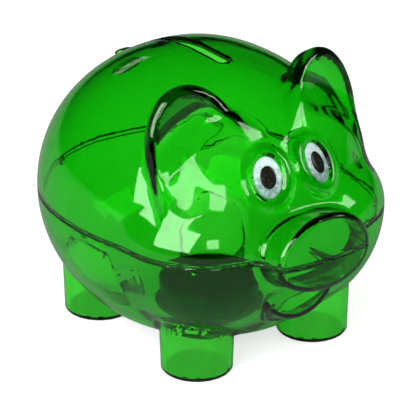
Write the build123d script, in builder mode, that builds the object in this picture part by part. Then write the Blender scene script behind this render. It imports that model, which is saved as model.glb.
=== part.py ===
"""A hollow moulded piggy bank: two clear shells glued at a level seam, stuck-on eyes and a belly plug."""

import os
from math import atan2, cos, degrees, radians, sin

from build123d import *

os.makedirs("parts", exist_ok=True)

# ---------------------------------------------------------------- driving dimensions, mm
# The origin is on the ground under the middle of the bank. The snout points to -Y.
WALL = 2.0
SEAM_Z = 45.4  # height of the glued seam
BODY_Y = 5.9  # middle of the round body
BODY = (50.0, 54.5)  # half width and half length of the body at the seam
BODY_TOP = 48.6  # height of the body above the seam
BODY_BOTTOM = 47.3  # depth of the round belly below the seam, before it is made flat
BELLY_Z = 4.6  # flat underside of the belly

CHEEK_AT = (14.0, -18.1)  # centre of the left cheek
CHEEK = (33.0, 31.5)
CHEEK_TOP = 22.0
CHEEK_BOTTOM = 35.0

SNOUT_HALF_WIDTH = 17.3
SNOUT_TOP = 17.0  # above the seam
SNOUT_BOTTOM = 10.6  # below the seam
SNOUT_FRONT_Y = -60.4
SNOUT_ROOT_Y = -30.0  # well inside the head
SNOUT_EDGE = 3.2  # rounding of the snout's rim
SNOUT_DRAFT = 0.6  # how much the snout narrows over the depth of the tongue

LIP_HALF_WIDTH = 13.2
LIP_HEIGHT = 17.4
LIP_Z = SEAM_Z - 7.2  # centre of the lip's rounded outline
LIP_FRONT_Y = -46.3
LIP_EDGE = 1.2

LEG_X = 23.0
LEG_Y = (-22.5, 30.9)  # front pair, rear pair
LEG_FOOT_R = 11.4
LEG_TOP_R = 12.3
LEG_TOP_Z = 30.0
LEG_EDGE = 1.0

EAR_AT = (25.0, -26.7, SEAM_Z + 27.0)  # a point in the plane of the left ear's rim
EAR_SPREAD = 0.248  # how far the rim's plane turns back towards the outside
EAR_LEAN = 0.225  # how far it leans back
EAR_OVAL = (16.2, 23.6)  # half width and half height of the ear's oval outline
EAR_OVAL_AT = (-0.3, 1.0)
EAR_ROLL = 10.3  # degrees that the oval's top leans outward
EAR_DEPTH = 8.5
EAR_BACK_INSET = 5.0  # how much smaller the back of the ear is
EAR_DISH_R = 48.0
EAR_DISH = 2.4  # depth of the hollow in the ear's front

EYE_AT = (9.5, -40.9, SEAM_Z + 23.2)
EYE_TURN = 18.0  # degrees that the eye looks outward
EYE_TILT = 30.0  # degrees that it looks up
EYE_RIM = (7.1, 8.7)
EYE_SEAT = (5.3, 7.4)
EYE_DISC = (4.5, 6.45)
PUPIL = (2.55, 3.6)
EYE_RIM_HEIGHT = 1.0
EYE_SEAT_DEPTH = 1.3
EYE_DISC_THICK = 0.7
PUPIL_THICK = 0.25
PUPIL_RAISE = 0.3  # the pupil sits this far above the disc's middle

SLOT_LENGTH = 39.5
SLOT_WIDTH = 4.6
SLOT_Y = 12.3

TAIL_AT = (0.0, 47.8, SEAM_Z + 28.6)
TAIL_LEAN = 47.0  # degrees between the curl's plane and the upright
TAIL_R = 4.2
TAIL_WIRE_R = 1.9

TONGUE_GAP = 0.1
TONGUE_THICK = 1.2
TONGUE_DEPTH = 2.3
TONGUE_ROOT = 1.5
TAB_WIDTH = 2.4
TAB_DEPTH = 1.9
BODY_TABS = (-176.0, -4.0, 64.0, 116.0)  # places of the tabs round the body, degrees
CHEEK_TAB = -46.0  # place of the tab on the left cheek
GLUE_THICK = 0.45
GLUE_BELOW = 1.7
GLUE_ABOVE = 0.9

HOLE_R = 17.0
PLUG_Y = 2.0
PLUG_GAP = 0.08
PLUG_HEIGHT = 12.5
PLUG_WALL = 2.2
PLUG_FLANGE_R = 19.5
PLUG_FLANGE_THICK = 1.6
PLUG_FLANGE_GAP = 0.3
PLUG_EDGE = 0.7

SEAM = Plane.XY.offset(SEAM_Z)
tongue_out = WALL + TONGUE_GAP
tongue_in = tongue_out + TONGUE_THICK


# ---------------------------------------------------------------- forms that both shells share
def half_ellipsoid(half_width, half_length, height, upper):
    """Half of an ellipsoid on the seam plane, above it or below it."""
    base = Align.MIN if upper else Align.MAX
    with BuildPart() as half:
        Sphere(
            1.0,
            arc_size1=0 if upper else -90,
            arc_size2=90 if upper else 0,
            align=(Align.CENTER, Align.CENTER, base),
        )
        scale(by=(half_width, half_length, height))
    return half.part


def round_forms(inset, upper):
    """The body and both cheeks on one side of the seam, with their surface moved in by inset."""
    body_height = (BODY_TOP if upper else BODY_BOTTOM) - inset
    cheek_height = (CHEEK_TOP if upper else CHEEK_BOTTOM) - inset
    body = half_ellipsoid(BODY[0] - inset, BODY[1] - inset, body_height, upper)
    cheek = half_ellipsoid(CHEEK[0] - inset, CHEEK[1] - inset, cheek_height, upper)
    with BuildPart() as form:
        with Locations((0, BODY_Y, SEAM_Z)):
            add(body)
        with Locations(*[(side * CHEEK_AT[0], CHEEK_AT[1], SEAM_Z) for side in (-1, 1)]):
            add(cheek)
    return form.part


def snout_form(inset, upper):
    """The upper or lower half of the snout: half an ellipse, drawn out forwards."""
    height = (SNOUT_TOP if upper else SNOUT_BOTTOM) - inset
    front = SNOUT_FRONT_Y + inset
    with BuildPart() as snout:
        with BuildSketch(Plane.XZ.offset(-front)):
            with Locations((0, SEAM_Z)):
                Ellipse(SNOUT_HALF_WIDTH - inset, height)
        extrude(amount=front - SNOUT_ROOT_Y)
        front_rim = snout.faces().sort_by(Axis.Y)[0].edges()
        fillet(front_rim, SNOUT_EDGE - inset / 2)
        split(bisect_by=SEAM, keep=Keep.TOP if upper else Keep.BOTTOM)
    return snout.part


def ear_plane(side):
    """The plane of an ear's rim, its normal towards the front."""
    return Plane(
        origin=(side * EAR_AT[0], EAR_AT[1], EAR_AT[2]),
        x_dir=(1, side * EAR_SPREAD, 0),
        z_dir=(side * EAR_SPREAD, -1, EAR_LEAN),
    )


def ear_section(side, depth, inset):
    """The ear's oval outline at a depth behind its rim, moved in by inset."""
    with BuildSketch(ear_plane(side).offset(-depth)) as section:
        with Locations((side * EAR_OVAL_AT[0], EAR_OVAL_AT[1])):
            Ellipse(EAR_OVAL[0] - inset, EAR_OVAL[1] - inset, rotation=-side * EAR_ROLL)
    return section.sketch


def ear_form(inset, side):
    """One ear: an upright rounded leaf, smaller behind, dished in front, its foot buried in the head."""
    with BuildPart() as ear:
        add(ear_section(side, inset, inset))
        add(ear_section(side, EAR_DEPTH - inset, EAR_BACK_INSET + inset))
        loft()
        with Locations(ear_plane(side).offset(EAR_DISH_R - EAR_DISH).location):
            Sphere(EAR_DISH_R + inset, mode=Mode.SUBTRACT)
    return ear.part


def leg_places():
    """The centre of each leg on the ground."""
    return [(side * LEG_X, y) for y in LEG_Y for side in (-1, 1)]


def eye_plane(side, raise_by=0.0):
    """The plane that an eye lies in, its normal out of the face."""
    turn = radians(side * EYE_TURN)
    tilt = radians(EYE_TILT)
    normal = (sin(turn) * cos(tilt), -cos(turn) * cos(tilt), sin(tilt))
    at = (side * EYE_AT[0], EYE_AT[1], EYE_AT[2])
    return Plane(origin=at, x_dir=(cos(turn), sin(turn), 0), z_dir=normal).offset(raise_by)


def seam_outline(inset):
    """The bank's outline at the seam, as a sketch at the seam, moved in by inset."""
    with BuildSketch(SEAM) as outline:
        with Locations((0, BODY_Y)):
            Ellipse(BODY[0] - inset, BODY[1] - inset)
        with Locations(*[(side * CHEEK_AT[0], CHEEK_AT[1]) for side in (-1, 1)]):
            Ellipse(CHEEK[0] - inset, CHEEK[1] - inset)
        snout_length = SNOUT_ROOT_Y - SNOUT_FRONT_Y - inset
        with Locations((0, SNOUT_ROOT_Y - snout_length / 2)):
            half_width = SNOUT_HALF_WIDTH - SNOUT_DRAFT - inset
            RectangleRounded(2 * half_width, snout_length, SNOUT_EDGE)
    return outline.sketch


def outline_place(centre, half_axes, turn):
    """A place on the middle of the tongue, at an angle round one of the outline's ellipses."""
    inset = (tongue_out + tongue_in) / 2
    across, along = half_axes[0] - inset, half_axes[1] - inset
    facing = degrees(atan2(across * sin(turn), along * cos(turn)))
    x = centre[0] + across * cos(turn)
    y = centre[1] + along * sin(turn)
    return Location((x, y, SEAM_Z - TONGUE_DEPTH / 2), (0, 0, facing))


def tab_places():
    """Where the small catches hang from the tongue."""
    places = [outline_place((0, BODY_Y), BODY, radians(turn)) for turn in BODY_TABS]
    for side in (-1, 1):
        turn = radians(CHEEK_TAB if side > 0 else -180.0 - CHEEK_TAB)
        places.append(outline_place((side * CHEEK_AT[0], CHEEK_AT[1]), CHEEK, turn))
    return places


# ---------------------------------------------------------------- upper shell
with BuildPart() as upper_shell:
    add(round_forms(0, True))
    add(snout_form(0, True))
    for side in (-1, 1):
        add(ear_form(0, side))
    # raised rims round the eyes
    for side in (-1, 1):
        with BuildSketch(eye_plane(side, EYE_RIM_HEIGHT)):
            Ellipse(*EYE_RIM)
        extrude(amount=-EYE_RIM_HEIGHT - WALL / 2)
    # the curled tail
    with Locations(Location(TAIL_AT, (TAIL_LEAN, 0, 0))):
        Torus(TAIL_R, TAIL_WIRE_R)
    # the hollow inside
    add(round_forms(WALL, True), mode=Mode.SUBTRACT)
    add(snout_form(WALL, True), mode=Mode.SUBTRACT)
    for side in (-1, 1):
        add(ear_form(WALL, side), mode=Mode.SUBTRACT)
    # seats for the eyes
    for side in (-1, 1):
        with BuildSketch(eye_plane(side, EYE_RIM_HEIGHT)):
            Ellipse(*EYE_SEAT)
        extrude(amount=-EYE_SEAT_DEPTH, mode=Mode.SUBTRACT)
    # the coin slot
    with BuildSketch(SEAM.offset(BODY_TOP / 2)):
        with Locations((0, SLOT_Y)):
            SlotOverall(SLOT_LENGTH, SLOT_WIDTH, rotation=90)
    extrude(amount=BODY_TOP, mode=Mode.SUBTRACT)
    # the tongue that locates the lower shell, with its root in the wall and its small tabs
    with BuildSketch(SEAM):
        add(seam_outline(WALL / 2))
        add(seam_outline(tongue_in), mode=Mode.SUBTRACT)
    extrude(amount=TONGUE_ROOT)
    with BuildSketch(SEAM):
        add(seam_outline(tongue_out))
        add(seam_outline(tongue_in), mode=Mode.SUBTRACT)
    extrude(amount=-TONGUE_DEPTH)
    with Locations(*tab_places()):
        Box(
            TONGUE_THICK / 2,
            TAB_WIDTH,
            TONGUE_DEPTH / 2 + TAB_DEPTH,
            align=(Align.CENTER, Align.CENTER, Align.MAX),
        )
upper_shell.part.label = "upper_shell"
export_step(upper_shell.part, "parts/upper_shell.step")


# ---------------------------------------------------------------- lower shell
def lip_form(inset):
    """The lower lip: an upright rounded bib under the snout."""
    with BuildPart() as lip:
        with BuildSketch(Plane.XZ.offset(-LIP_FRONT_Y - inset)):
            with Locations((0, LIP_Z)):
                Ellipse(LIP_HALF_WIDTH - inset, LIP_HEIGHT - inset)
        extrude(amount=-(SNOUT_ROOT_Y - LIP_FRONT_Y - inset))
        fillet(lip.faces().sort_by(Axis.Y)[0].edges(), LIP_EDGE)
        split(bisect_by=SEAM, keep=Keep.BOTTOM)
    return lip.part


def leg_form(inset):
    """One leg on the ground: a slightly tapered post with a rounded foot."""
    with BuildPart() as leg:
        Cone(
            LEG_FOOT_R - inset,
            LEG_TOP_R - inset,
            LEG_TOP_Z - inset,
            align=(Align.CENTER, Align.CENTER, Align.MIN),
        )
        fillet(leg.faces().sort_by(Axis.Z)[0].edges(), LEG_EDGE)
    return leg.part


with BuildPart() as lower_shell:
    add(round_forms(0, False))
    split(bisect_by=Plane.XY.offset(BELLY_Z), keep=Keep.TOP)
    add(snout_form(0, False))
    add(lip_form(0))
    leg = leg_form(0)
    with Locations(*leg_places()):
        add(leg)
    # the hollow inside, which runs down into the legs
    hollow = split(round_forms(WALL, False), Plane.XY.offset(BELLY_Z + WALL), mode=Mode.PRIVATE)
    add(hollow, mode=Mode.SUBTRACT)
    add(snout_form(WALL, False), mode=Mode.SUBTRACT)
    add(lip_form(WALL), mode=Mode.SUBTRACT)
    leg_core = leg_form(WALL)
    with Locations(*[(x, y, WALL) for x, y in leg_places()]):
        add(leg_core, mode=Mode.SUBTRACT)
    # the round hole that the belly plug closes
    with BuildSketch(Plane.XY):
        with Locations((0, PLUG_Y)):
            Circle(HOLE_R)
    extrude(amount=BELLY_Z + PLUG_HEIGHT, mode=Mode.SUBTRACT)
lower_shell.part.label = "lower_shell"
export_step(lower_shell.part, "parts/lower_shell.step")

# ---------------------------------------------------------------- bead of glue inside the seam
glue_out = tongue_in
glue_in = glue_out + GLUE_THICK
with BuildPart() as seam_glue:
    with BuildSketch(SEAM.offset(-GLUE_BELOW)):
        add(seam_outline(glue_out))
        add(seam_outline(glue_in), mode=Mode.SUBTRACT)
    extrude(amount=GLUE_BELOW + GLUE_ABOVE)
seam_glue.part.label = "seam_glue"
export_step(seam_glue.part, "parts/seam_glue.step")

# ---------------------------------------------------------------- belly plug
plug_r = HOLE_R - PLUG_GAP
flange_top = BELLY_Z - PLUG_FLANGE_GAP
flange_bottom = flange_top - PLUG_FLANGE_THICK
with BuildPart() as belly_plug:
    with BuildSketch(Plane.XY.offset(flange_bottom)):
        with Locations((0, PLUG_Y)):
            Circle(PLUG_FLANGE_R)
    extrude(amount=PLUG_FLANGE_THICK)
    with BuildSketch(Plane.XY.offset(flange_bottom)):
        with Locations((0, PLUG_Y)):
            Circle(plug_r)
    extrude(amount=PLUG_HEIGHT)
    # the cup opens upwards, inside the bank
    with BuildSketch(Plane.XY.offset(flange_bottom + PLUG_WALL)):
        with Locations((0, PLUG_Y)):
            Circle(plug_r - PLUG_WALL)
    extrude(amount=PLUG_HEIGHT, mode=Mode.SUBTRACT)
    top_edges = belly_plug.faces().sort_by(Axis.Z)[-1].edges()
    bottom_edges = belly_plug.faces().sort_by(Axis.Z)[0].edges()
    fillet(top_edges + bottom_edges, PLUG_EDGE)
belly_plug.part.label = "belly_plug"
export_step(belly_plug.part, "parts/belly_plug.step")

# ---------------------------------------------------------------- eyes
seat_floor = EYE_RIM_HEIGHT - EYE_SEAT_DEPTH
for side, name in ((-1, "right"), (1, "left")):
    with BuildPart() as eye_disc:
        with BuildSketch(eye_plane(side, seat_floor)):
            Ellipse(*EYE_DISC)
        extrude(amount=EYE_DISC_THICK)
    eye_disc.part.label = f"{name}_eye_disc"
    export_step(eye_disc.part, f"parts/{name}_eye_disc.step")

    with BuildPart() as pupil:
        with BuildSketch(eye_plane(side, seat_floor + EYE_DISC_THICK)):
            with Locations((0, PUPIL_RAISE)):
                Ellipse(*PUPIL)
        extrude(amount=PUPIL_THICK)
    pupil.part.label = f"{name}_pupil"
    export_step(pupil.part, f"parts/{name}_pupil.step")
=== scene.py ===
import math
import bmesh
import bpy
import numpy as np
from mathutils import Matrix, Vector


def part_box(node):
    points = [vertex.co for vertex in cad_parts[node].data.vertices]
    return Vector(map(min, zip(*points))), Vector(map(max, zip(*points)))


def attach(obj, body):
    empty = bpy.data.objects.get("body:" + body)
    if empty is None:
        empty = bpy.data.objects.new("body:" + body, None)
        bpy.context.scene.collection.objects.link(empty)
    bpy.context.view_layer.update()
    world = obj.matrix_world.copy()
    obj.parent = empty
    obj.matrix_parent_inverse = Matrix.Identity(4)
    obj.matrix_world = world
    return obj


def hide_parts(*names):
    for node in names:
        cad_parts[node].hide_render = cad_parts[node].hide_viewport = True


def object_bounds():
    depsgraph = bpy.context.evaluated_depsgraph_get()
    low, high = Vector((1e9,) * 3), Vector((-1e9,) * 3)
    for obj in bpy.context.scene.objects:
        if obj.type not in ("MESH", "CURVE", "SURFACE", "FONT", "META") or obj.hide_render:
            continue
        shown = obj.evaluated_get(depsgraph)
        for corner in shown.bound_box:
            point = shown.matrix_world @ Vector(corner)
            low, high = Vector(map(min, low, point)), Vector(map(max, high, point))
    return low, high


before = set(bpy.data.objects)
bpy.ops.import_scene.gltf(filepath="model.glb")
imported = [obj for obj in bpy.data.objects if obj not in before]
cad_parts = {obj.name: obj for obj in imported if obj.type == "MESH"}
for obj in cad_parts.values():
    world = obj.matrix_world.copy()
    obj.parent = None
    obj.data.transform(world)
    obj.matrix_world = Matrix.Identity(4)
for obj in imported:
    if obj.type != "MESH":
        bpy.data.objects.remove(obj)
cad_low, cad_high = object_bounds()

# A moulded piggy bank of clear green plastic: two shells glued at a level seam, oval eyes and
# a black belly plug. Shape sizes are in millimetres, and become metres where a mesh is made.
# The snout points to -Y. A shape is a function of x, y and z that is below nought inside it.
MM = 0.001
WALL = 2.0
SEAM_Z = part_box("lower_shell")[1].z / MM
SEAM_GAP = 0.12  # each shell's edge stops this far from the seam, and glue fills the space
SEAM_EDGE = 0.45

BODY_Y = 5.9
BODY = (50.0, 54.5)
BODY_TOP = 48.6
BODY_BOTTOM = 47.3
BODY_SQUARENESS = 2.16  # 2 would make the body's plan an ellipse
CROWN = (34.0, 36.0, 47.8)  # a slight fullness of the head between the ears
CROWN_Y = -6.1
CROWN_BLEND = 3.0
BELLY_Z = 4.6
BELLY_BLEND = 9.0

CHEEK_AT = (14.0, -18.1)
CHEEK = (33.0, 31.5)
CHEEK_TOP = 22.0
CHEEK_BOTTOM = 35.0
CHEEK_BLEND = 2.2

SNOUT_HALF_WIDTH = 17.2  # the snout's sizes at its front, and how it widens behind
SNOUT_TOP = 15.2
SNOUT_BOTTOM = 10.3
SNOUT_DRAFT = 0.15
SNOUT_SADDLE = 0.42  # how fast its top falls away behind the front
SNOUT_FRONT_Y = cad_low.y / MM
SNOUT_ROOT_Y = -30.0
SNOUT_EDGE = 1.7
SNOUT_FILLET = 2.0
SNOUT_CROWN_R = 75.0  # radius of the snout's gently rounded front

LIP_HALF_WIDTH = 15.6
LIP_HEIGHT = 17.9
LIP_BELOW = 7.2  # the lip's middle, below the seam
LIP_FRONT_Y = -46.3
LIP_EDGE = 0.9
LIP_FILLET = 1.4
LIP_DRAFT = 0.45

LEG_X = 23.0
LEG_Y = (-22.5, 30.9)
LEG_FOOT_R = 11.4
LEG_TOP_R = 12.3
LEG_TOP_Z = 30.0
LEG_EDGE = 1.2
LEG_FILLET = 0.9
FOOT_LIFT = 0.05  # keeps the feet clear of the floor
LEG_WALL = 1.2  # the legs are moulded thinner than the body

EAR_AT = (25.0, -26.7, SEAM_Z + 27.0)
EAR_SPREAD = 0.248
EAR_LEAN = 0.225
EAR_OVAL = (16.2, 23.6)
EAR_OVAL_AT = (-0.3, 1.0)
EAR_ROLL = math.radians(10.3)
EAR_DEPTH = 9.5
EAR_RIM_DEPTH = 3.2  # the rim's side runs straight back this far, then tapers
EAR_TAPER = 0.3
EAR_EDGE = 2.4
EAR_BACK_EDGE = 3.5
EAR_DISH = 1.2
EAR_RIM = 1.6
EAR_RIM_EXTRA = 0.8  # the ear's side is thicker than the wall elsewhere
EAR_DISH_RUN = 9.0
EAR_FILLET = (1.5, 8.0)  # behind the ear, and in front of it
EAR_FILLET_RUN = (-4.0, 2.0)  # it widens between these depths of the ear

EYE_AT = (9.5, -40.9, SEAM_Z + 23.2)
EYE_TURN = math.radians(18.0)
EYE_TILT = math.radians(30.0)
EYE_RIM = (6.4, 8.3)
EYE_RIM_R = 2.4
EYE_RIM_SINK = 1.85
EYE_RIM_FILLET = 1.2
EYE_SEAT = (4.9, 6.95)
EYE_SEAT_FLOOR = -0.3
EYE_SEAT_FLARE = 0.55  # how much the seat widens towards its mouth
EYE_SEAT_EDGE = 0.7
EYE_DISC = (4.5, 6.45)
EYE_DISC_THICK = 0.7
PUPIL = (2.55, 3.6)

SLOT_LENGTH = 39.5
SLOT_WIDTH = 4.6
SLOT_Y = 12.3
SLOT_EDGE = 0.5
SLOT_FROM = 20.0  # the slot is cut from this height above the seam, and upwards

TAIL_AT = (0.0, 46.6, SEAM_Z + 29.5)
TAIL_TILT = math.radians(47.0)
TAIL_TURNS = 1.15
TAIL_REACH = (5.0, 2.8)  # at its root and at its tip, as are the next two
TAIL_LIFT = (-1.2, 3.4)
TAIL_THICK = (2.3, 1.4)
TAIL_BALLS = 40  # the curl is a row of this many balls
TAIL_ZONE = 14.0  # it lies wholly within this distance of its place
TAIL_FILLET = 0.8

LUG_TURNS = tuple(math.radians(turn) for turn in (-176, -128, -46, -4, 64, 116))
LUG_WIDTH = 2.4
LUG_DEPTH = 2.2
LUG_THICK = 1.3

HOLE_R = 17.0
PLUG_Y = 2.0
FAR = 20.0  # a distance past which a small shape has no effect


# ---------------------------------------------------------------- shape maths
def round_both(a, b, radius):
    """The overlap of two forms, with the edge between them rounded."""
    corner = np.hypot(np.maximum(a + radius, 0), np.maximum(b + radius, 0))
    return np.minimum(np.maximum(a, b), -radius) + corner


def round_join(a, b, radius):
    """Two forms joined, with a fillet in the corner between them."""
    corner = np.hypot(np.maximum(radius - a, 0), np.maximum(radius - b, 0))
    return np.maximum(np.minimum(a, b), radius) - corner


def soft_join(a, b, width):
    """Two forms joined where they run nearly along each other, with a soft valley between."""
    near = np.maximum(width - np.abs(a - b), 0) / width
    return np.minimum(a, b) - near * near * width / 4


def oval(u, v, half_u, half_v):
    """Distance from an ellipse, near enough close to its line."""
    ratio = np.hypot(u / half_u, v / half_v)
    slope = np.hypot(u / half_u**2, v / half_v**2)
    return ratio * (ratio - 1) / np.maximum(slope, 1e-9)


def egg(x, y, z, half_x, half_y, half_z, squareness=2.0):
    """Distance from an ellipsoid whose plan may be squarer than an ellipse."""
    across = np.abs(x) / half_x + 1e-9
    along = np.abs(y) / half_y + 1e-9
    plan = across**squareness + along**squareness
    ratio = np.sqrt(plan ** (2 / squareness) + (z / half_z) ** 2)
    gain = plan ** (2 / squareness - 1)
    slope_x = gain * across ** (squareness - 1) / half_x
    slope_y = gain * along ** (squareness - 1) / half_y
    slope = np.sqrt(slope_x**2 + slope_y**2 + (z / half_z**2) ** 2)
    return ratio * (ratio - 1) / np.maximum(slope, 1e-9)


def local_axes(origin, across, normal):
    """A plane's own axes: across, up and out, with its origin."""
    out = np.array(normal) / np.linalg.norm(normal)
    right = np.array(across) / np.linalg.norm(across)
    return np.array(origin), right, np.cross(out, right), out


EAR_AXES = local_axes(EAR_AT, (1, EAR_SPREAD, 0), (EAR_SPREAD, -1, EAR_LEAN))
EYE_OUT = (
    math.sin(EYE_TURN) * math.cos(EYE_TILT),
    -math.cos(EYE_TURN) * math.cos(EYE_TILT),
    math.sin(EYE_TILT),
)
EYE_AXES = local_axes(EYE_AT, (math.cos(EYE_TURN), math.sin(EYE_TURN), 0), EYE_OUT)


def into_plane(x, y, z, axes):
    """A point's coordinates in a plane on the left side, and mirrored for the right."""
    origin, right, up, out = axes
    dx, dy, dz = np.abs(x) - origin[0], y - origin[1], z - origin[2]
    return tuple(dx * a[0] + dy * a[1] + dz * a[2] for a in (right, up, out))


def head_and_body(x, y, height):
    """The round body with its crown and cheeks; height is above the seam."""
    up = height > 0
    body_height = np.where(up, BODY_TOP, BODY_BOTTOM)
    cheek_height = np.where(up, CHEEK_TOP, CHEEK_BOTTOM)
    body = egg(x, y - BODY_Y, height, *BODY, body_height, BODY_SQUARENESS)
    crown = egg(x, y - CROWN_Y, height, *CROWN)
    cheek = egg(np.abs(x) - CHEEK_AT[0], y - CHEEK_AT[1], height, *CHEEK, cheek_height)
    return soft_join(soft_join(body, crown, CROWN_BLEND), cheek, CHEEK_BLEND)


def snout(x, y, height):
    behind = np.clip(y - SNOUT_FRONT_Y, 0, SNOUT_ROOT_Y - SNOUT_FRONT_Y)
    rise = np.where(height > 0, SNOUT_TOP - SNOUT_SADDLE * behind, SNOUT_BOTTOM)
    side = oval(x, height, SNOUT_HALF_WIDTH, rise) - SNOUT_DRAFT * behind
    reach = np.sqrt(x**2 + height**2 + (y - SNOUT_FRONT_Y - SNOUT_CROWN_R) ** 2)
    block = round_both(side, reach - SNOUT_CROWN_R, SNOUT_EDGE)
    return np.maximum(block, y - SNOUT_ROOT_Y)


def ear(x, y, z, inset):
    """One ear: an upright oval leaf with a rolled rim, scooped out in front and rounded behind."""
    u, v, out = into_plane(x, y, z, EAR_AXES)
    u, v = u - EAR_OVAL_AT[0], v - EAR_OVAL_AT[1]
    cos, sin = math.cos(EAR_ROLL), math.sin(EAR_ROLL)
    edge = oval(u * cos - v * sin, u * sin + v * cos, *EAR_OVAL) + inset
    side = edge + EAR_TAPER * np.maximum(-out - EAR_RIM_DEPTH, 0)
    run = np.clip((-edge - EAR_RIM) / EAR_DISH_RUN, 0, 1)
    scoop = EAR_DISH * run * run * (3 - 2 * run)
    back = round_both(side, -out - EAR_DEPTH, EAR_BACK_EDGE)
    return round_both(back, out + scoop, EAR_EDGE), out


def lip(x, y, height):
    side = oval(x, height + LIP_BELOW, LIP_HALF_WIDTH, LIP_HEIGHT)
    side = side - LIP_DRAFT * np.maximum(y - LIP_FRONT_Y, 0)
    block = round_both(side, LIP_FRONT_Y - y, LIP_EDGE)
    return np.maximum(block, y - SNOUT_ROOT_Y)


def legs(x, y, z):
    """All four legs."""
    y_leg = np.where(y < (LEG_Y[0] + LEG_Y[1]) / 2, y - LEG_Y[0], y - LEG_Y[1])
    radius = LEG_FOOT_R + (LEG_TOP_R - LEG_FOOT_R) * z / LEG_TOP_Z
    side = np.hypot(np.abs(x) - LEG_X, y_leg) - radius
    post = round_both(side, FOOT_LIFT - z, LEG_EDGE)
    return np.maximum(post, z - LEG_TOP_Z)


def upper_form(x, y, z):
    """The outside of the upper shell, carried on below the seam."""
    height = z - SEAM_Z
    form = head_and_body(x, y, height)
    form = round_join(form, snout(x, y, height), SNOUT_FILLET)
    leaf, out = ear(x, y, z, 0.0)
    return round_join(form, leaf, ear_fillet(out))


def ear_fillet(out):
    """The fillet at an ear's foot, wide in front of the ear's plane and small behind it."""
    return np.interp(out, EAR_FILLET_RUN, EAR_FILLET)


def upper_hollow(x, y, z):
    """The inside of the upper shell, with a crisp corner where the snout begins."""
    height = z - SEAM_Z
    form = np.minimum(head_and_body(x, y, height), snout(x, y, height))
    leaf, out = ear(x, y, z, EAR_RIM_EXTRA)
    return round_join(form, leaf, ear_fillet(out)) + WALL


def lower_form(x, y, z):
    """The outside of the lower shell, carried on above the seam."""
    height = z - SEAM_Z
    form = head_and_body(x, y, height)
    form = round_both(form, BELLY_Z - z, BELLY_BLEND)
    form = round_join(form, snout(x, y, height), SNOUT_FILLET)
    form = round_join(form, lip(x, y, height), LIP_FILLET)
    return round_join(form, legs(x, y, z), LEG_FILLET)


def lower_hollow(x, y, z):
    """The inside of the lower shell, with crisp corners where the snout and the lip begin."""
    height = z - SEAM_Z
    form = head_and_body(x, y, height)
    form = round_both(form, BELLY_Z - z, BELLY_BLEND)
    form = np.minimum(form, np.minimum(snout(x, y, height), lip(x, y, height)))
    return round_join(form, legs(x, y, z) - (WALL - LEG_WALL), LEG_FILLET) + WALL


def eye_rims(x, y, z):
    u, v, out = into_plane(x, y, z, EYE_AXES)
    return np.hypot(oval(u, v, *EYE_RIM), out + EYE_RIM_SINK) - EYE_RIM_R


def eye_seats(x, y, z):
    u, v, out = into_plane(x, y, z, EYE_AXES)
    side = oval(u, v, *EYE_SEAT) - EYE_SEAT_FLARE * (out - EYE_SEAT_FLOOR)
    return np.maximum(side, EYE_SEAT_FLOOR - out)


def slot(x, y, z):
    straight = (SLOT_LENGTH - SLOT_WIDTH) / 2
    along = np.maximum(np.abs(y - SLOT_Y) - straight, 0)
    return np.maximum(np.hypot(x, along) - SLOT_WIDTH / 2, SEAM_Z + SLOT_FROM - z)


def tail(x, y, z):
    """A small curl: a little over one turn, which tapers and rises off the back."""
    turns = np.linspace(0, TAIL_TURNS * 2 * math.pi, TAIL_BALLS)
    reach = np.linspace(*TAIL_REACH, TAIL_BALLS)
    lift = np.linspace(*TAIL_LIFT, TAIL_BALLS)
    thick = np.linspace(*TAIL_THICK, TAIL_BALLS)
    east = reach * np.cos(turns + math.pi / 2)
    north = reach * np.sin(turns + math.pi / 2)
    cos, sin = math.cos(TAIL_TILT), math.sin(TAIL_TILT)
    from_tail = np.hypot(np.hypot(x - TAIL_AT[0], y - TAIL_AT[1]), z - TAIL_AT[2])
    close = from_tail < TAIL_ZONE
    px, py, pz = x[close], y[close], z[close]
    best = np.full(px.shape, FAR)
    for e, n, up, r in zip(east, north, lift, thick):
        cy = TAIL_AT[1] + up * sin - n * cos
        cz = TAIL_AT[2] + up * cos + n * sin
        distance = np.sqrt((px - TAIL_AT[0] - e) ** 2 + (py - cy) ** 2 + (pz - cz) ** 2) - r
        best = np.minimum(best, distance)
    nearest = np.full(x.shape, FAR)
    nearest[close] = best
    return nearest


def upper_shell(x, y, z):
    form = upper_form(x, y, z)
    outside = round_join(form, eye_rims(x, y, z), EYE_RIM_FILLET)
    outside = round_join(outside, tail(x, y, z), TAIL_FILLET)
    shell = np.maximum(outside, -upper_hollow(x, y, z))
    shell = round_both(shell, -eye_seats(x, y, z), EYE_SEAT_EDGE)
    shell = round_both(shell, -slot(x, y, z), SLOT_EDGE)
    return round_both(shell, SEAM_Z + SEAM_GAP - z, SEAM_EDGE)


def lugs(x, y, z, form):
    """The small blocks inside the lower wall, under the seam, that locate the two halves."""
    inset = np.maximum(form + WALL / 2, -form - WALL - LUG_THICK)
    block = np.maximum(inset, SEAM_Z - LUG_DEPTH - z)
    nearest = np.full(x.shape, FAR)
    for turn in LUG_TURNS:
        cos, sin = math.cos(turn), math.sin(turn)
        across = np.abs((y - BODY_Y) * cos - x * sin) - LUG_WIDTH / 2
        ahead = x * cos + (y - BODY_Y) * sin
        nearest = np.minimum(nearest, np.maximum(across, -ahead))
    return np.maximum(block, nearest)


def lower_shell(x, y, z):
    form = lower_form(x, y, z)
    shell = np.maximum(form, -lower_hollow(x, y, z))
    shell = np.minimum(shell, lugs(x, y, z, form))
    # the plug's hole, cut from below to well above the belly's floor
    hole = np.maximum(np.hypot(x, y - PLUG_Y) - HOLE_R, z - SEAM_Z / 2)
    shell = np.maximum(shell, -hole)
    return round_both(shell, z - SEAM_Z + SEAM_GAP, SEAM_EDGE)


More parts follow.
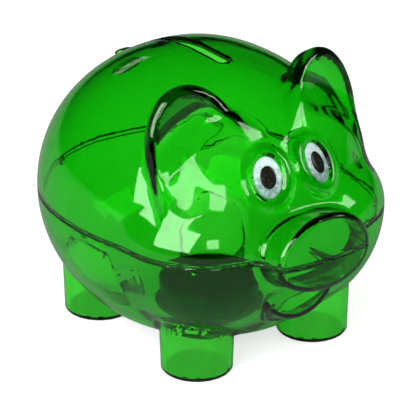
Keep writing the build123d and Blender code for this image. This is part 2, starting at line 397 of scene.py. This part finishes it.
# ---------------------------------------------------------------- from a form to a mesh
GRID = 0.9
LEG_GRID = 0.75
SEAM_GRID = 0.45
SLOT_GRID = 0.4
SLOPE_STEP = 0.02  # how far apart a form is read to find which way its surface faces
FLATNESS = 0.04  # keeps a mesh point near its cell's crossings where the surface is nearly flat
SHARP = math.radians(38)


def crossings(form, axes, values, axis):
    """Where grid lines along one axis go through the surface, which way it faces, and which is inside."""
    low = [slice(None)] * 3
    high = [slice(None)] * 3
    low[axis], high[axis] = slice(None, -1), slice(1, None)
    start, end = values[tuple(low)], values[tuple(high)]
    at = np.argwhere((start < 0) != (end < 0))
    index = tuple(at.T)
    first, last = start[index], end[index]
    begin, finish = (
        np.stack([axes[k][at[:, k] + (k == axis) * step] for k in range(3)], -1) for step in (0, 1)
    )
    spot = begin + (finish - begin) * (first / (first - last))[:, None]
    slope = (last - first) / np.linalg.norm(finish - begin, axis=1)
    for _ in range(2):
        moved = spot[:, axis] - form(*spot.T) / slope
        spot[:, axis] = np.clip(moved, begin[:, axis], finish[:, axis])
    normal = np.stack([form(*(spot + s).T) - form(*(spot - s).T) for s in np.eye(3) * SLOPE_STEP], -1)
    normal /= np.linalg.norm(normal, axis=1)[:, None] + 1e-12
    return at, spot, normal, first < 0


def cells_round(at, axis, stride):
    """The numbers of the four cells round each crossed grid line, in turn."""
    b, c = (axis + 1) % 3, (axis + 2) % 3
    corners = []
    for back_b, back_c in ((1, 1), (0, 1), (0, 0), (1, 0)):
        cell = at.copy()
        cell[:, b] -= back_b
        cell[:, c] -= back_c
        corners.append(cell @ stride)
    return np.stack(corners, -1)


def cell_points(owners, points, normals):
    """One point for each cell, as near as can be to the planes of all its crossings."""
    used, cell_of = np.unique(owners, return_inverse=True)
    count = np.bincount(cell_of)
    middle = np.stack([np.bincount(cell_of, points[:, k]) / count for k in range(3)], -1)
    offset = np.einsum("ij,ij->i", normals, points - middle[cell_of])
    system = np.zeros((len(used), 3, 3))
    for j in range(3):
        for k in range(3):
            system[:, j, k] = np.bincount(cell_of, normals[:, j] * normals[:, k])
    system += np.eye(3) * (FLATNESS * count)[:, None, None]
    target = np.stack([np.bincount(cell_of, normals[:, k] * offset) for k in range(3)], -1)
    return used, middle + np.linalg.solve(system, target[:, :, None])[:, :, 0]


def contour(form, axes):
    """Quads over the surface of a form, with a point in each crossed cell that keeps its edges sharp."""
    values = form(*np.meshgrid(*axes, indexing="ij"))
    cells = np.array([len(a) - 1 for a in axes])
    stride = np.array([cells[1] * cells[2], cells[2], 1])
    owners, points, normals, quads = [], [], [], []
    for axis in range(3):
        at, spot, normal, leaving = crossings(form, axes, values, axis)
        corners = cells_round(at, axis, stride)
        quads.append(np.where(leaving[:, None], corners, corners[:, ::-1]))
        for column in corners.T:
            owners.append(column)
            points.append(spot)
            normals.append(normal)
    used, corner = cell_points(*(np.concatenate(part) for part in (owners, points, normals)))
    cell_index = np.stack([used // stride[0], used // stride[1] % cells[1], used % cells[2]], -1)
    for k in range(3):
        low, high = axes[k][cell_index[:, k]], axes[k][cell_index[:, k] + 1]
        corner[:, k] = np.clip(corner[:, k], low, high)
    return corner, np.searchsorted(used, np.concatenate(quads))


def spaced(low, high, step, fine=()):
    """Grid lines from low to high, with finer steps in the given stretches (from, to, step)."""
    lines = np.arange(low, high + step, step)
    for start, end, small in fine:
        lines = lines[(lines < start - step / 3) | (lines > end + step / 3)]
        lines = np.concatenate([lines, np.arange(start, end + small / 2, small)])
    return np.sort(lines)


def placed(name, data):
    """A new object in the scene, at the origin."""
    made = bpy.data.objects.new(name, data)
    bpy.context.scene.collection.objects.link(made)
    return made


def mesh_from(name, points, faces):
    """A smooth piece from points in millimetres and four-cornered faces."""
    mesh = bpy.data.meshes.new(name)
    mesh.vertices.add(len(points))
    mesh.vertices.foreach_set("co", (points * MM).astype(np.float32).ravel())
    mesh.loops.add(faces.size)
    mesh.loops.foreach_set("vertex_index", faces.astype(np.int32).ravel())
    mesh.polygons.add(len(faces))
    mesh.polygons.foreach_set("loop_start", np.arange(0, faces.size, 4, dtype=np.int32))
    mesh.update(calc_edges=True)
    mesh.validate()
    mesh.shade_smooth()
    mesh.set_sharp_from_angle(angle=SHARP)
    return placed(name, mesh)


# ---------------------------------------------------------------- shader words
class Value:
    """A shader value: one output of a node, written with ordinary maths."""

    def __init__(self, recipe, socket):
        self.recipe = recipe
        self.socket = socket

    def maths(self, operation, *others):
        inputs = dict(enumerate((self, *others)))
        return self.recipe.node("ShaderNodeMath", {"operation": operation}, inputs)

    def __add__(self, other):
        return self.maths("ADD", other)

    def __mul__(self, other):
        return self.maths("MULTIPLY", other)

    def __sub__(self, other):
        return self.maths("SUBTRACT", other)

    def __rsub__(self, other):
        return self.maths("MULTIPLY", -1.0).maths("ADD", other)

    __radd__ = __add__
    __rmul__ = __mul__

    def between(self, low, high):
        """Nought below low, one above high, and a smooth rise between."""
        settings = {"interpolation_type": "SMOOTHSTEP"}
        inputs = {"Value": self, "From Min": low, "From Max": high}
        return self.recipe.node("ShaderNodeMapRange", settings, inputs, "Result")


class Recipe:
    """A material in the making. node() makes any node from its type, settings and inputs."""

    def __init__(self, name):
        self.material = bpy.data.materials.new(name)
        self.material.use_nodes = True
        self.tree = self.material.node_tree
        self.tree.nodes.clear()
        self.place = self.node("ShaderNodeTexCoord", out="Object")

    def node(self, kind, settings=None, inputs=None, out=0):
        made = self.tree.nodes.new(kind)
        for key, value in (settings or {}).items():
            setattr(made, key, value)
        for key, value in (inputs or {}).items():
            if isinstance(value, Value):
                self.tree.links.new(value.socket, made.inputs[key])
            else:
                made.inputs[key].default_value = value
        return Value(self, made.outputs[out])

    def noise(self, scale, detail=3.0, roughness=0.5, at=None):
        inputs = {"Vector": at or self.place, "Scale": scale, "Detail": detail, "Roughness": roughness}
        return self.node("ShaderNodeTexNoise", {}, inputs, "Fac")

    def stretched(self, scale):
        """Object coordinates pulled out along one or two ways."""
        return self.node("ShaderNodeMapping", {}, {"Vector": self.place, "Scale": scale})

    def blend(self, factor, first, second):
        inputs = {0: factor, 6: first, 7: second}
        return self.node("ShaderNodeMix", {"data_type": "RGBA"}, inputs, 2)

    def bump(self, height, distance, strength=1.0):
        inputs = {"Height": height, "Distance": distance, "Strength": strength}
        return self.node("ShaderNodeBump", {}, inputs)

    def done(self, surface, volume=None):
        end = self.tree.nodes.new("ShaderNodeOutputMaterial")
        self.tree.links.new(surface.socket, end.inputs["Surface"])
        if volume:
            self.tree.links.new(volume.socket, end.inputs["Volume"])
        return self.material


# ---------------------------------------------------------------- finishes
DYE = (0.106, 0.845, 0.0, 1)  # what the plastic lets through
DYE_DENSITY = 1320.0
GLUE_DARK, GLUE_PALE = (0.006, 0.05, 0.006, 1), (0.012, 0.11, 0.015, 1)
RUBBER, RUBBER_WORN = (0.006, 0.006, 0.007, 1), (0.02, 0.021, 0.02, 1)
# the eye's white, and a grey-blue that is both painted shade on the disc's lower part and the colour of
# thin blotches
PAINT, PAINT_SHADE_AND_THIN = (0.36, 0.48, 0.45, 1), (0.09, 0.17, 0.15, 1)
PUPIL_INK, PUPIL_FLECK = (0.005, 0.006, 0.004, 1), (0.022, 0.024, 0.018, 1)


def clear_green():
    """Moulded clear styrene, dyed through, so a thick or slanting wall is darker than a thin one."""
    recipe = Recipe("clear_green_plastic")
    flow = recipe.noise(42.0, 2.0, 0.45)
    haze = recipe.noise(160.0, 4.0, 0.6)
    scuff = recipe.noise(500.0, 2.0, 0.5, recipe.stretched((1.0, 0.12, 0.4))).between(0.62, 0.78)
    tint = recipe.blend(haze.between(0.3, 0.7), (0.93, 1.0, 0.93, 1), (1, 1, 1, 1))
    skin = recipe.bump(flow + haze * 0.05, 0.0004, 0.25)
    surface = recipe.node(
        "ShaderNodeBsdfPrincipled",
        {},
        {
            "Base Color": tint,
            "Roughness": haze * 0.006 + scuff * 0.02,
            "Normal": skin,
            "Transmission Weight": 1.0,
            "IOR": 1.52,
            "Specular Tint": (0.8, 1.0, 0.76, 1),
        },
    )
    dye = {"Color": DYE, "Density": DYE_DENSITY}
    return recipe.done(surface, recipe.node("ShaderNodeVolumeAbsorption", {}, dye))


def old_glue():
    """Solvent glue, dark where it has pooled."""
    recipe = Recipe("seam_glue")
    pool = recipe.noise(420.0, 3.0).between(0.35, 0.7)
    colour = recipe.blend(pool, GLUE_DARK, GLUE_PALE)
    inputs = {"Base Color": colour, "Roughness": 0.25 + pool * 0.2, "Normal": recipe.bump(pool, 0.0002)}
    return recipe.done(recipe.node("ShaderNodeBsdfPrincipled", {}, inputs))


def black_rubber():
    """The plug's moulded black: dull, finely pitted, paler where it is rubbed."""
    recipe = Recipe("plug_rubber")
    grain = recipe.noise(1500.0, 3.0)
    rub = recipe.noise(120.0, 4.0, 0.6).between(0.45, 0.75)
    colour = recipe.blend(rub, RUBBER, RUBBER_WORN)
    inputs = {
        "Base Color": colour,
        "Roughness": 0.5 + rub * 0.2,
        "Normal": recipe.bump(grain, 0.00008),
    }
    return recipe.done(recipe.node("ShaderNodeBsdfPrincipled", {}, inputs))


def eye_paint():
    """White paint, whiter above and grey-blue below as painted shade that stands for the surroundings it
    reflects, and blotched where the paint is thin.
    """
    recipe = Recipe("eye_white")
    height = recipe.node("ShaderNodeSeparateXYZ", {}, {"Vector": recipe.place}, "Z")
    blotch = recipe.noise(620.0, 4.0, 0.7).between(0.36, 0.66)
    low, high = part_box("left_eye_disc")
    # painted shade: the disc turns darker and grey-blue towards its bottom, standing for reflected
    # surroundings; the blotches are thin paint
    top = height.between(low.z, high.z)
    shade_and_thin = (1.0 - top) * 0.6 + blotch * 0.5
    colour = recipe.blend(shade_and_thin.between(0.15, 0.95), PAINT, PAINT_SHADE_AND_THIN)
    inputs = {
        "Base Color": colour,
        "Roughness": 0.4 + blotch * 0.2,
        "Normal": recipe.bump(blotch, 0.00006),
        "Specular IOR Level": 0.3,
    }
    return recipe.done(recipe.node("ShaderNodeBsdfPrincipled", {}, inputs))


def pupil_black():
    """Glossy black ink with a few paler flecks."""
    recipe = Recipe("pupil_black")
    fleck = recipe.noise(1300.0, 3.0).between(0.5, 0.8)
    colour = recipe.blend(fleck, PUPIL_INK, PUPIL_FLECK)
    inputs = {"Base Color": colour, "Roughness": 0.16 + fleck * 0.2, "Specular IOR Level": 0.2}
    return recipe.done(recipe.node("ShaderNodeBsdfPrincipled", {}, inputs))


def pale_floor():
    """A white light table. The object's gloss sees it dimmed, as if through a polariser."""
    recipe = Recipe("pale_floor")
    cloud = recipe.noise(6.0, 3.0)
    colour = recipe.blend(cloud, (0.4, 0.4, 0.4, 1), (0.43, 0.43, 0.43, 1))
    inputs = {
        "Base Color": colour,
        "Roughness": 0.7,
        "Emission Color": (1, 1, 1, 1),
        "Emission Strength": 0.68,
    }
    table = recipe.node("ShaderNodeBsdfPrincipled", {}, inputs)
    dim = recipe.node("ShaderNodeBsdfDiffuse", {}, {"Color": (0.22, 0.22, 0.22, 1)})
    gloss = recipe.node("ShaderNodeLightPath", out="Is Glossy Ray")
    mirrored = recipe.node("ShaderNodeLightPath", out="Is Reflection Ray")
    return recipe.done(recipe.node("ShaderNodeMixShader", {}, {0: gloss * mirrored, 1: table, 2: dim}))


# ---------------------------------------------------------------- pieces
BUTTON_SIDES = 64
BUTTON_SHARP = math.radians(50)
EYE_DISC_TOP = EYE_SEAT_FLOOR + EYE_DISC_THICK
# profiles of the eye's disc and pupil: share of the half sizes, and height above the disc's top
DISC_PROFILE = ((0.97, -EYE_DISC_THICK), (1.0, -0.5), (1.0, -0.2), (0.96, -0.06), (0.88, 0.0), (0.5, 0.05))
PUPIL_PROFILE = ((1.0, 0.04), (1.0, 0.2), (0.94, 0.3), (0.8, 0.36), (0.4, 0.4))


def button(name, half, profile, side):
    """An oval button on an eye's plane, from its profile."""
    origin, right, up, out = EYE_AXES
    turns = np.linspace(0, 2 * math.pi, BUTTON_SIDES, endpoint=False)
    across = np.outer(np.cos(turns) * half[0], right)
    tall = np.outer(np.sin(turns) * half[1], up)
    mesh = bmesh.new()
    rings = []
    for share, rise in profile:
        spots = origin + share * (across + tall) + (EYE_DISC_TOP + rise) * out
        spots[:, 0] *= side
        rings.append([mesh.verts.new(spot * MM) for spot in spots])
    for low, high in zip(rings, rings[1:]):
        for i in range(BUTTON_SIDES):
            j = (i + 1) % BUTTON_SIDES
            mesh.faces.new((low[i], low[j], high[j], high[i]))
    mesh.faces.new(rings[0][::-1])
    mesh.faces.new(rings[-1])
    bmesh.ops.recalc_face_normals(mesh, faces=mesh.faces)
    data = bpy.data.meshes.new(name)
    mesh.to_mesh(data)
    mesh.free()
    data.shade_smooth()
    data.set_sharp_from_angle(angle=BUTTON_SHARP)
    return placed(name, data)


SEAM_POINTS = 240
SEAM_NEAR, SEAM_FAR = 20.0, 75.0  # the seam lies between these distances from the body's middle
HALVINGS = 30


def seam_loop(inset, level):
    """Points round the seam, a way inside the shells' outside and at a height."""
    turns = np.linspace(0, 2 * math.pi, SEAM_POINTS, endpoint=False)
    near, far = np.full(SEAM_POINTS, SEAM_NEAR), np.full(SEAM_POINTS, SEAM_FAR)
    at_seam = np.full(SEAM_POINTS, SEAM_Z)
    for _ in range(HALVINGS):
        reach = (near + far) / 2
        inside = upper_form(reach * np.cos(turns), BODY_Y + reach * np.sin(turns), at_seam) < -inset
        near, far = np.where(inside, reach, near), np.where(inside, far, reach)
    spots = (near * np.cos(turns), BODY_Y + near * np.sin(turns), np.full(SEAM_POINTS, level))
    return np.stack(spots, -1)


FILM_REACH = SEAM_GAP - 0.02  # above and below the seam
FILM_OUTER, FILM_INNER = 0.25, WALL - 0.2  # inside the shells' outside


def glue_film():
    """The thin layer of glue between the two edges."""
    corners = (
        (FILM_OUTER, FILM_REACH),
        (FILM_OUTER, -FILM_REACH),
        (FILM_INNER, -FILM_REACH),
        (FILM_INNER, FILM_REACH),
    )
    loops = [seam_loop(inset, SEAM_Z + rise) for inset, rise in corners]
    here = np.arange(SEAM_POINTS)
    ahead = (here + 1) % SEAM_POINTS
    faces = []
    for k in range(4):
        this, following = k * SEAM_POINTS, (k + 1) % 4 * SEAM_POINTS
        faces.append(np.stack((this + here, this + ahead, following + ahead, following + here), -1))
    return mesh_from("glue_film", np.concatenate(loops), np.concatenate(faces))


BEAD_STEP = 0.0007  # metres, as all sizes in the bead's tree are
BEAD_SIDES = 8
WANDER_FROM, WANDER_TO = 0.012, 0.036  # between these places on X it begins to wander


def bead_tree(finish):
    """An uneven bead along a curve, which wanders more towards +X, where it was laid by hand."""
    tree = bpy.data.node_groups.new("glue_bead", "GeometryNodeTree")
    tree.interface.new_socket("Path", in_out="INPUT", socket_type="NodeSocketGeometry")
    for name in ("Radius", "Wander", "Seed"):
        tree.interface.new_socket(name, in_out="INPUT", socket_type="NodeSocketFloat")
    tree.interface.new_socket("Bead", in_out="OUTPUT", socket_type="NodeSocketGeometry")

    def add(kind, settings=None, inputs=None):
        made = tree.nodes.new(kind)
        for key, value in (settings or {}).items():
            setattr(made, key, value)
        for key, value in (inputs or {}).items():
            if isinstance(value, bpy.types.NodeSocket):
                tree.links.new(value, made.inputs[key])
            else:
                made.inputs[key].default_value = value
        return made.outputs

    given = add("NodeGroupInput")
    place = add("GeometryNodeInputPosition")["Position"]
    east = add("ShaderNodeSeparateXYZ", {}, {0: place})["X"]
    limits = {"From Min": WANDER_FROM, "From Max": WANDER_TO, "To Min": 0.04, "To Max": 1.0}
    free = add("ShaderNodeMapRange", {}, {"Value": east, **limits})["Result"]
    reach = add("ShaderNodeMath", {"operation": "MULTIPLY"}, {0: given["Wander"], 1: free})[0]
    seeded = {"noise_dimensions": "4D"}
    swing = add("ShaderNodeTexNoise", seeded, {"W": given["Seed"], "Scale": 130.0, "Detail": 3.0})
    centred = add("ShaderNodeVectorMath", {"operation": "SUBTRACT"}, {0: swing["Color"], 1: (0.5,) * 3})
    drift = add("ShaderNodeVectorMath", {"operation": "SCALE"}, {0: centred[0], "Scale": reach})
    inputs = {"Curve": given["Path"], "Length": BEAD_STEP}
    path = add("GeometryNodeResampleCurve", {"mode": "LENGTH"}, inputs)["Curve"]
    path = add("GeometryNodeSetPosition", {}, {"Geometry": path, "Offset": drift[0]})["Geometry"]
    lumps = add("ShaderNodeTexNoise", seeded, {"W": given["Seed"], "Scale": 260.0, "Detail": 2.0})
    limits = {"From Min": 0.35, "From Max": 0.72, "To Min": 0.6, "To Max": 2.0}
    swell = add("ShaderNodeMapRange", {}, {"Value": lumps["Fac"], **limits})["Result"]
    path = add("GeometryNodeSetCurveRadius", {}, {"Curve": path, "Radius": swell})["Curve"]
    sizes = {"Resolution": BEAD_SIDES, "Radius": given["Radius"]}
    ring = add("GeometryNodeCurvePrimitiveCircle", {}, sizes)
    bead = add("GeometryNodeCurveToMesh", {}, {"Curve": path, "Profile Curve": ring["Curve"]})["Mesh"]
    bead = add("GeometryNodeRealizeInstances", {}, {"Geometry": bead})["Geometry"]
    bead = add("GeometryNodeSetMaterial", {}, {"Geometry": bead, "Material": finish})["Geometry"]
    add("NodeGroupOutput", {}, {"Bead": bead})
    return tree


def glue_bead(name, finish, inset, level, radius, wander, seed):
    """A bead laid round the inside of the seam, as a plain mesh."""
    curve = bpy.data.curves.new(name, "CURVE")
    curve.dimensions = "3D"
    line = curve.splines.new("POLY")
    spots = seam_loop(inset, level) * MM
    line.points.add(len(spots) - 1)
    for point, spot in zip(line.points, spots):
        point.co = (*spot, 1)
    line.use_cyclic_u = True
    path = placed(name + "_path", curve)
    modifier = path.modifiers.new("bead", "NODES")
    modifier.node_group = bead_tree(finish)
    sizes = {"Radius": radius, "Wander": wander, "Seed": seed}
    for item in modifier.node_group.interface.items_tree:
        if item.name in sizes:
            modifier[item.identifier] = sizes[item.name]
    ready = path.evaluated_get(bpy.context.evaluated_depsgraph_get())
    mesh = bpy.data.meshes.new_from_object(ready)
    mesh.shade_smooth()
    bpy.data.objects.remove(path)
    return placed(name, mesh)


GRID_X, GRID_Y, GRID_TOP = 52.3, 62.2, 98.0  # the grid reaches a little past the shells
GRID_BOTTOM = -1.3
SEAM_NEARBY = 0.9  # the grid is finer this far on each side of the seam
LUG_NEARBY = 2.7  # and this far below it, where the lugs are
SLOT_NEARBY = 3.2
LEG_NEARBY = 13.0


def make_shells():
    """Both shells, on grids that are finer where small things are."""
    slot_x = [(-SLOT_NEARBY, SLOT_NEARBY, SLOT_GRID)]
    leg_x = [(x - LEG_NEARBY, x + LEG_NEARBY, LEG_GRID) for x in (-LEG_X, LEG_X)]
    leg_y = [(y - LEG_NEARBY, y + LEG_NEARBY, LEG_GRID) for y in LEG_Y]
    above = [(SEAM_Z - SEAM_NEARBY, SEAM_Z + SEAM_NEARBY, SEAM_GRID)]
    below = [(SEAM_Z - LUG_NEARBY, SEAM_Z + SEAM_NEARBY, SEAM_GRID)]
    upper_axes = (
        spaced(-GRID_X, GRID_X, GRID, slot_x),
        spaced(-GRID_Y, GRID_Y, GRID),
        spaced(SEAM_Z - 1.2, GRID_TOP, GRID, above),
    )
    lower_axes = (
        spaced(-GRID_X, GRID_X, GRID, leg_x),
        spaced(-GRID_Y, GRID_Y, GRID, leg_y),
        spaced(GRID_BOTTOM, SEAM_Z + 1.3, GRID, below),
    )
    upper = mesh_from("upper_shell_skin", *contour(upper_shell, upper_axes))
    lower = mesh_from("lower_shell_skin", *contour(lower_shell, lower_axes))
    return upper, lower


def stand_for(piece, node):
    """The piece rides on the bank and is shown in place of a CAD node."""
    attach(piece, "bank")
    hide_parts(node)


plastic = clear_green()
for shell, node in zip(make_shells(), ("upper_shell", "lower_shell")):
    shell.data.materials.append(plastic)
    stand_for(shell, node)

white, black = eye_paint(), pupil_black()
for side, word in ((1, "left"), (-1, "right")):
    disc = button(f"{word}_eye_white", EYE_DISC, DISC_PROFILE, side)
    disc.data.materials.append(white)
    stand_for(disc, f"{word}_eye_disc")
    dot = button(f"{word}_eye_pupil", PUPIL, PUPIL_PROFILE, side)
    dot.data.materials.append(black)
    stand_for(dot, f"{word}_pupil")

# the glue: a film between the edges, and two beads inside; their radius and wander are in metres
glue = old_glue()
film = glue_film()
film.data.materials.append(glue)
low_bead = glue_bead("glue_bead_low", glue, WALL, SEAM_Z - 1.2, 0.00022, 0.006, 4.0)
high_bead = glue_bead("glue_bead_high", glue, WALL, SEAM_Z + 0.4, 0.0002, 0.008, 9.0)
for piece in (film, low_bead, high_bead):
    stand_for(piece, "seam_glue")

plug_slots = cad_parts["belly_plug"].data.materials
plug_slots.clear()
plug_slots.append(black_rubber())


# ---------------------------------------------------------------- floor, lights and camera
FLOOR_HALF = 3.0  # metres, as all sizes of the stage are
MIDDLE = Vector((0, BODY_Y, SEAM_Z)) * MM
SKY = 0.75
SKY_IN_GLOSS = 0.015  # the gloss sees a nearly black studio, so that only the softboxes show in it

CAMERA_AZIMUTH, CAMERA_ELEVATION = -36.54, 24.87
CAMERA_DISTANCE = 1.114
CAMERA_AIM = (0.00197, -0.0058)  # to the right of the middle, and up
LENS, SENSOR = 301.2, 36.0

# name, azimuth and elevation in degrees, distance, width, height, power in watts
SOFTBOXES = (
    ("left_softbox", -76, 31, 1.2, 0.95, 0.9, 25),
    ("front_softbox", -30, 28, 1.2, 0.26, 0.36, 1.9),
    ("right_softbox", 38, 33, 1.2, 0.5, 0.4, 4),
    ("small_softbox", 54, 24, 1.2, 0.22, 0.3, 1.2),
    ("rear_softbox", 168, 25, 1.4, 0.3, 0.12, 0.12),
)


def towards(azimuth, elevation):
    """The way from the object to a place at these degrees; azimuth 0 is in front of the snout."""
    a, e = math.radians(azimuth), math.radians(elevation)
    return Vector((math.sin(a) * math.cos(e), -math.cos(a) * math.cos(e), math.sin(e)))


def look_from(name, data, place, back):
    """A lamp or camera at a place, looking along the opposite of back."""
    made = placed(name, data)
    made.location = place
    made.rotation_mode = "QUATERNION"
    made.rotation_quaternion = back.to_track_quat("Z", "Y")
    return made


def make_floor():
    corners = [(x * FLOOR_HALF, y * FLOOR_HALF, 0) for x, y in ((-1, -1), (1, -1), (1, 1), (-1, 1))]
    data = bpy.data.meshes.new("floor")
    data.from_pydata(corners, [], [(0, 1, 2, 3)])
    data.materials.append(pale_floor())
    placed("floor", data)


def softbox(name, azimuth, elevation, distance, width, height, power):
    """A soft light that looks at the object."""
    back = towards(azimuth, elevation)
    light = bpy.data.lights.new(name, "AREA")
    light.shape = "RECTANGLE"
    light.size, light.size_y, light.energy = width, height, power
    look_from(name, light, MIDDLE + back * distance, back)


def make_world():
    world = bpy.data.worlds.new("studio")
    world.use_nodes = True
    sky = world.node_tree.nodes["Background"]
    sky.inputs["Color"].default_value = (1, 1, 1, 1)
    path = world.node_tree.nodes.new("ShaderNodeLightPath")
    dim = world.node_tree.nodes.new("ShaderNodeMapRange")
    dim.inputs["To Min"].default_value = SKY
    dim.inputs["To Max"].default_value = SKY_IN_GLOSS
    world.node_tree.links.new(path.outputs["Is Glossy Ray"], dim.inputs["Value"])
    world.node_tree.links.new(dim.outputs["Result"], sky.inputs["Strength"])
    bpy.context.scene.world = world


def make_camera():
    """A long lens, a little above the seam, from the right of the snout."""
    back = towards(CAMERA_AZIMUTH, CAMERA_ELEVATION)
    right = Vector((-back.y, back.x, 0)).normalized()
    aim = MIDDLE + right * CAMERA_AIM[0] + back.cross(right) * CAMERA_AIM[1]
    lens = bpy.data.cameras.new("camera")
    lens.lens, lens.sensor_width = LENS, SENSOR
    lens.clip_start, lens.clip_end = 0.05, 20.0
    bpy.context.scene.camera = look_from("camera", lens, aim + back * CAMERA_DISTANCE, back)


make_floor()
make_world()
make_camera()
for box in SOFTBOXES:
    softbox(*box)
bpy.context.scene.view_settings.view_transform = "Standard"
